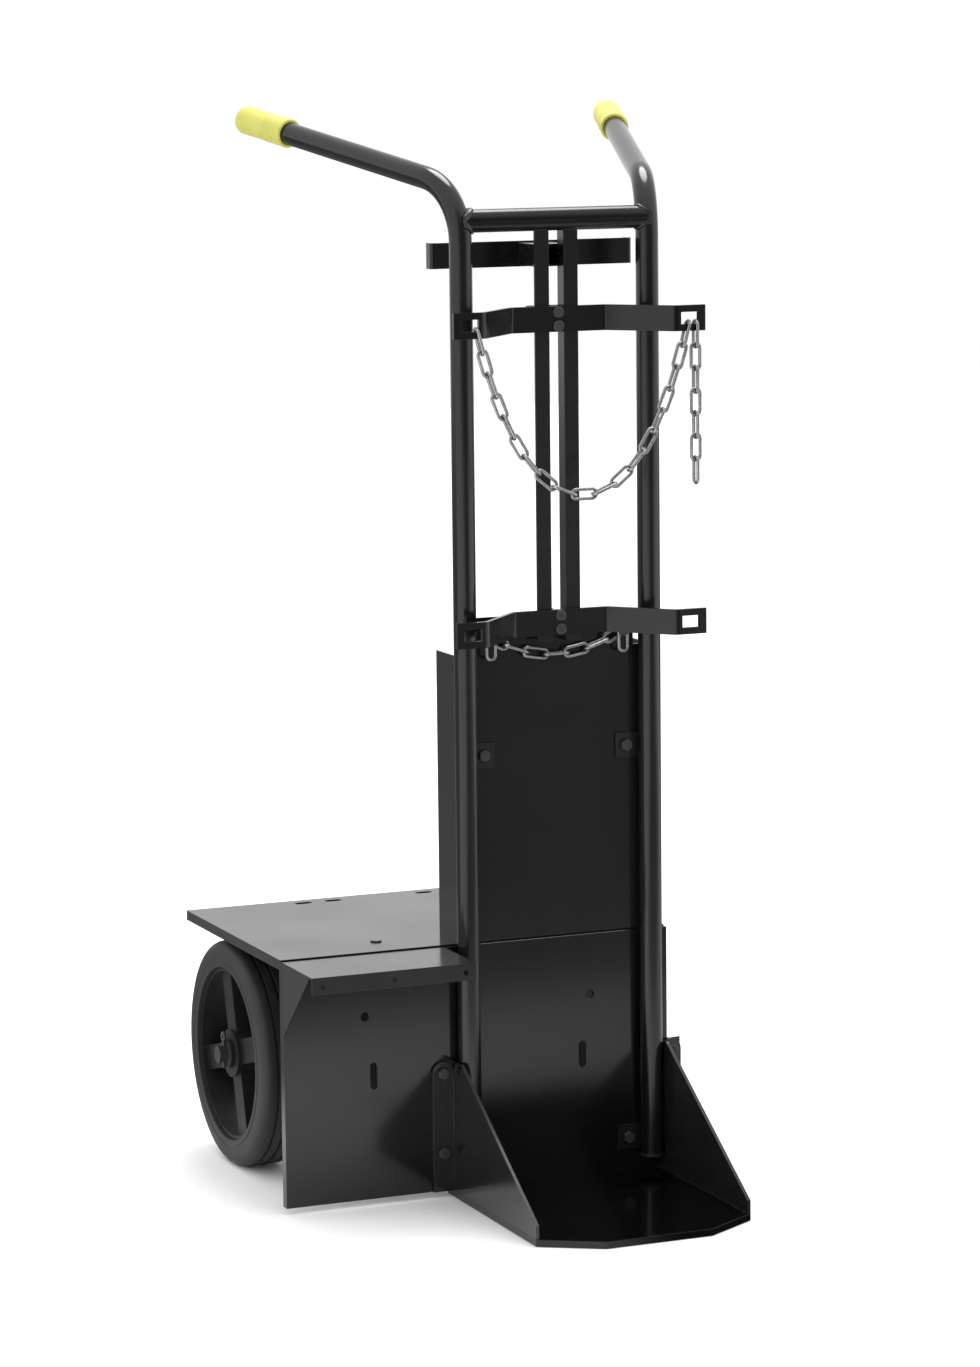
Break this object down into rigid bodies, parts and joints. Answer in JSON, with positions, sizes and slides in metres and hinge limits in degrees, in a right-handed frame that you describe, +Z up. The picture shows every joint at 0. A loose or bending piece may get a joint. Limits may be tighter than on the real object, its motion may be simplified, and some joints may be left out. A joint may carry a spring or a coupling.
{
  "type": "welding trolley",
  "caption": "Two-wheeled welding trolley: bent tube frame with grips, a toe plate for a gas cylinder held by chains, and a sheet platform beside it for a welding set.",
  "frame": {"origin": "on the floor, on the toe plate's underside, midway between the uprights and below their axes", "axes": "+Z up along the uprights, -Y towards the cylinder and the toe plate's front, +X to the right seen from there"},
  "size_m": [0.6025, 0.687, 1.2827],
  "materials": {
    "black_paint": "gloss black paint",
    "zinc_steel": "dull zinc plate",
    "black_steel": "black oxide on steel",
    "yellow_grip": "yellow moulded vinyl",
    "tyre": "solid black rubber",
    "black_plastic": "black moulding",
    "nylon": "black nylon"
  },
  "bodies": {
    "frame": {"apron": "black_paint", "axle": "black_steel", "axle_washers": "black_steel", "bracket_bolts": "black_steel", "cable_hanger": "black_paint", "cotter_pins": "black_steel", "front_shelf": "black_paint", "gusset_bolts": "black_steel", "hanger_stem": "black_paint", "left_axle_bracket": "black_paint", "left_axle_spacer": "black_steel", "left_grip": "yellow_grip", "left_gusset": "black_paint", "left_mast_rail": "black_paint", "left_upright": "black_paint", "left_upright_lugs": "black_paint", "lower_chain_bolts": "black_steel", "lower_chain_end_links": "zinc_steel", "lower_saddle": "black_paint", "lower_saddle_bolts": "black_steel", "lug_bolts": "black_steel", "platform": "black_paint", "right_axle_bracket": "black_paint", "right_axle_spacer": "black_steel", "right_grip": "yellow_grip", "right_gusset": "black_paint", "right_mast_rail": "black_paint", "right_upright": "black_paint", "right_upright_lugs": "black_paint", "shelf_bolts": "black_steel", "spine_foot_bolts": "black_steel", "spine_panel": "black_paint", "toe_plate": "black_paint", "top_cross_tube": "black_paint", "upright_plugs": "black_plastic"},
    "left_wheel": {"left_tyre": "tyre", "left_wheel_centre": "black_plastic", "left_wheel_bushes": "nylon"},
    "right_wheel": {"right_tyre": "tyre", "right_wheel_centre": "black_plastic", "right_wheel_bushes": "nylon"},
    "upper_saddle": {"upper_saddle": "black_paint", "upper_clamp_plate": "black_paint", "upper_saddle_bolts": "black_steel", "upper_chain_anchors": "zinc_steel"},
    "upper_chain": {"upper_chain": "zinc_steel"},
    "chain_tail": {"chain_tail": "zinc_steel"},
    "lower_chain": {"lower_chain": "zinc_steel"}
  },
  "joints": [
    {"name": "left_wheel_spin", "type": "hinge", "parent": "frame", "child": "left_wheel", "pos_m": [-0.296, 0.273, 0.138], "axis": [1, 0, 0], "continuous": true},
    {"name": "right_wheel_spin", "type": "hinge", "parent": "frame", "child": "right_wheel", "pos_m": [0.095, 0.273, 0.138], "axis": [1, 0, 0], "continuous": true},
    {"name": "saddle_slide", "type": "slide", "parent": "frame", "child": "upper_saddle", "axis": [0, 0, 1], "range_m": [-0.14, 0.03]},
    {"name": "upper_chain_swing", "type": "hinge", "parent": "upper_saddle", "child": "upper_chain", "pos_m": [0.0035, -0.07195, 1.00602], "axis": [1, 0, 0], "range_deg": [-15, 15]},
    {"name": "chain_tail_swing", "type": "hinge", "parent": "upper_saddle", "child": "chain_tail", "pos_m": [0.14625, -0.07195, 1.0051], "axis": [1, 0, 0], "range_deg": [-20, 20]},
    {"name": "lower_chain_swing", "type": "hinge", "parent": "frame", "child": "lower_chain", "pos_m": [0, 0.00575, 0.65601], "axis": [1, 0, 0], "range_deg": [-20, 0]}
  ]
}
